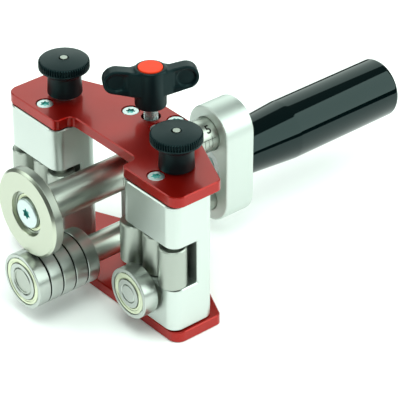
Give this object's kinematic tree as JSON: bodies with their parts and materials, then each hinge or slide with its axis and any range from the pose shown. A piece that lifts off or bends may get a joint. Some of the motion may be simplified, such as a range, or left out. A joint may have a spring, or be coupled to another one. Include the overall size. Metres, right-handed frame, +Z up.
{
  "type": "roller edge bender for sheet metal",
  "caption": "Hand-held roller edge bender for sheet metal: swinging guide blocks with rollers, a sliding two-shaft carriage with forming disc and bearing stack, wing clamp screw and bar handle.",
  "frame": {"origin": "middle of the bottom plate's underside, which the tool rests on", "axes": "+X to the right of someone who looks at the disc from the front; +Y back along the shafts to the handle; +Z up"},
  "size_m": [0.1112, 0.1998, 0.0937],
  "materials": {
    "red_plate": "red paint, satin",
    "aluminium_parts": "milled, fine brushed",
    "aluminium_blocks": "milled and blasted, clear anodised",
    "bronze_bushes": "sintered bronze, oiled",
    "zinc_hardware": "bright zinc plated",
    "ground_steel": "hardened and ground",
    "bearing_steel": "ground and honed",
    "bearing_shields": "ground ring with pressed shields",
    "spring_wire": "drawn spring wire",
    "black_nylon": "moulded, glass filled",
    "orange_cap": "moulded",
    "brass_parts": "turned",
    "shafts": "ground, hard chrome plated",
    "handle_plastic": "moulded, glossy black",
    "disc_steel": "turned, hardened and ground"
  },
  "bodies": {
    "frame": {"top_plate": "red_plate", "bottom_plate": "red_plate", "shaft_block": "aluminium_parts", "upper_shaft_bush": "bronze_bushes", "lower_shaft_bush": "bronze_bushes", "top_plate_screws": "zinc_hardware", "bottom_plate_screws": "zinc_hardware", "left_pivot_pins": "ground_steel", "right_pivot_pins": "ground_steel", "left_plunger_sleeve": "zinc_hardware", "right_plunger_sleeve": "zinc_hardware", "left_plunger_spring": "spring_wire", "right_plunger_spring": "spring_wire"},
    "carriage": {"upper_shaft": "shafts", "lower_shaft": "shafts", "yoke": "aluminium_parts", "shaft_end_screws": "zinc_hardware", "handle": "handle_plastic", "handle_insert": "brass_parts", "handle_bolt": "zinc_hardware", "disc_bearing_inner": "bearing_steel", "disc_balls": "bearing_steel", "disc_screw": "zinc_hardware", "stack_inner_rings": "bearing_steel", "stack_shims": "zinc_hardware", "stack_balls": "bearing_steel"},
    "disc": {"forming_disc": "disc_steel", "disc_bearing_outer": "bearing_steel"},
    "stack_1": {"stack_bearing_1": "bearing_shields"},
    "stack_2": {"stack_bearing_2": "bearing_shields"},
    "stack_3": {"stack_bearing_3": "bearing_shields"},
    "stack_4": {"stack_bearing_4": "bearing_shields"},
    "stack_5": {"stack_bearing_5": "bearing_shields"},
    "left_guide": {"left_guide_block": "aluminium_blocks", "left_roller_pins": "ground_steel", "left_support_axle": "ground_steel", "left_support_inner_ring": "bearing_steel", "left_support_balls": "bearing_steel"},
    "left_outer_roll": {"left_outer_roller": "ground_steel"},
    "left_middle_roll": {"left_middle_roller": "ground_steel"},
    "left_inner_roll": {"left_inner_roller": "ground_steel"},
    "left_support": {"left_support_bearing": "bearing_shields"},
    "left_plunger": {"left_plunger_pin": "ground_steel", "left_knob": "black_nylon"},
    "right_guide": {"right_guide_block": "aluminium_blocks", "right_roller_pins": "ground_steel", "right_support_axle": "ground_steel", "right_support_inner_ring": "bearing_steel", "right_support_balls": "bearing_steel"},
    "right_outer_roll": {"right_outer_roller": "ground_steel"},
    "right_middle_roll": {"right_middle_roller": "ground_steel"},
    "right_inner_roll": {"right_inner_roller": "ground_steel"},
    "right_support": {"right_support_bearing": "bearing_shields"},
    "right_plunger": {"right_plunger_pin": "ground_steel", "right_knob": "black_nylon"},
    "pad": {"clamp_pad": "brass_parts"},
    "wing": {"wing_knob": "black_nylon", "wing_cap": "orange_cap", "wing_stud": "zinc_hardware"}
  },
  "joints": [
    {"name": "depth_slide", "type": "slide", "parent": "frame", "child": "carriage", "axis": [0, 1, 0], "range_m": [-0.02, 0.023]},
    {"name": "disc_spin", "type": "hinge", "parent": "carriage", "child": "disc", "pos_m": [0, -0.0535, 0.0495], "axis": [0, 1, 0], "continuous": true},
    {"name": "stack_1_spin", "type": "hinge", "parent": "carriage", "child": "stack_1", "pos_m": [0, -0.0539, 0.018], "axis": [0, 1, 0], "continuous": true},
    {"name": "stack_2_spin", "type": "hinge", "parent": "carriage", "child": "stack_2", "pos_m": [0, -0.0476, 0.018], "axis": [0, 1, 0], "continuous": true},
    {"name": "stack_3_spin", "type": "hinge", "parent": "carriage", "child": "stack_3", "pos_m": [0, -0.0413, 0.018], "axis": [0, 1, 0], "continuous": true},
    {"name": "stack_4_spin", "type": "hinge", "parent": "carriage", "child": "stack_4", "pos_m": [0, -0.035, 0.018], "axis": [0, 1, 0], "continuous": true},
    {"name": "stack_5_spin", "type": "hinge", "parent": "carriage", "child": "stack_5", "pos_m": [0, -0.0287, 0.018], "axis": [0, 1, 0], "continuous": true},
    {"name": "left_guide_swing", "type": "hinge", "parent": "frame", "child": "left_guide", "pos_m": [-0.0364, -0.0155, 0.035], "axis": [0, 0, 1], "range_deg": [-8, 8]},
    {"name": "left_outer_roller_spin", "type": "hinge", "parent": "left_guide", "child": "left_outer_roll", "pos_m": [-0.0485, -0.0174, 0.0345], "axis": [0, 0, 1], "continuous": true},
    {"name": "left_middle_roller_spin", "type": "hinge", "parent": "left_guide", "child": "left_middle_roll", "pos_m": [-0.0364, -0.0155, 0.0345], "axis": [0, 0, 1], "continuous": true},
    {"name": "left_inner_roller_spin", "type": "hinge", "parent": "left_guide", "child": "left_inner_roll", "pos_m": [-0.0243, -0.0174, 0.0345], "axis": [0, 0, 1], "continuous": true},
    {"name": "left_support_spin", "type": "hinge", "parent": "left_guide", "child": "left_support", "pos_m": [-0.0356, -0.0267, 0.019], "axis": [0, 1, 0], "continuous": true},
    {"name": "left_plunger_lift", "type": "slide", "parent": "frame", "child": "left_plunger", "axis": [0, 0, 1], "range_m": [0, 0.005], "stiffness_N_per_m": 400, "springref_m": -0.01, "deforming": ["left_plunger_spring"]},
    {"name": "right_guide_swing", "type": "hinge", "parent": "frame", "child": "right_guide", "pos_m": [0.0364, -0.0155, 0.035], "axis": [0, 0, 1], "range_deg": [-8, 8]},
    {"name": "right_outer_roller_spin", "type": "hinge", "parent": "right_guide", "child": "right_outer_roll", "pos_m": [0.0485, -0.0174, 0.0345], "axis": [0, 0, 1], "continuous": true},
    {"name": "right_middle_roller_spin", "type": "hinge", "parent": "right_guide", "child": "right_middle_roll", "pos_m": [0.0364, -0.0155, 0.0345], "axis": [0, 0, 1], "continuous": true},
    {"name": "right_inner_roller_spin", "type": "hinge", "parent": "right_guide", "child": "right_inner_roll", "pos_m": [0.0243, -0.0174, 0.0345], "axis": [0, 0, 1], "continuous": true},
    {"name": "right_support_spin", "type": "hinge", "parent": "right_guide", "child": "right_support", "pos_m": [0.0356, -0.0267, 0.019], "axis": [0, 1, 0], "continuous": true},
    {"name": "right_plunger_lift", "type": "slide", "parent": "frame", "child": "right_plunger", "axis": [0, 0, 1], "range_m": [0, 0.005], "stiffness_N_per_m": 400, "springref_m": -0.01, "deforming": ["right_plunger_spring"]},
    {"name": "pad_lift", "type": "slide", "parent": "frame", "child": "pad", "axis": [0, 0, 1], "range_m": [0, 0.001]},
    {"name": "wing_turn", "type": "hinge", "parent": "pad", "child": "wing", "pos_m": [0, 0.0115, 0.08], "axis": [0, 0, 1], "range_deg": [0, 360]}
  ],
  "couplings": [
    {"joint": "wing_turn", "follows": "pad_lift", "rad_per_m": 6283.2}
  ]
}
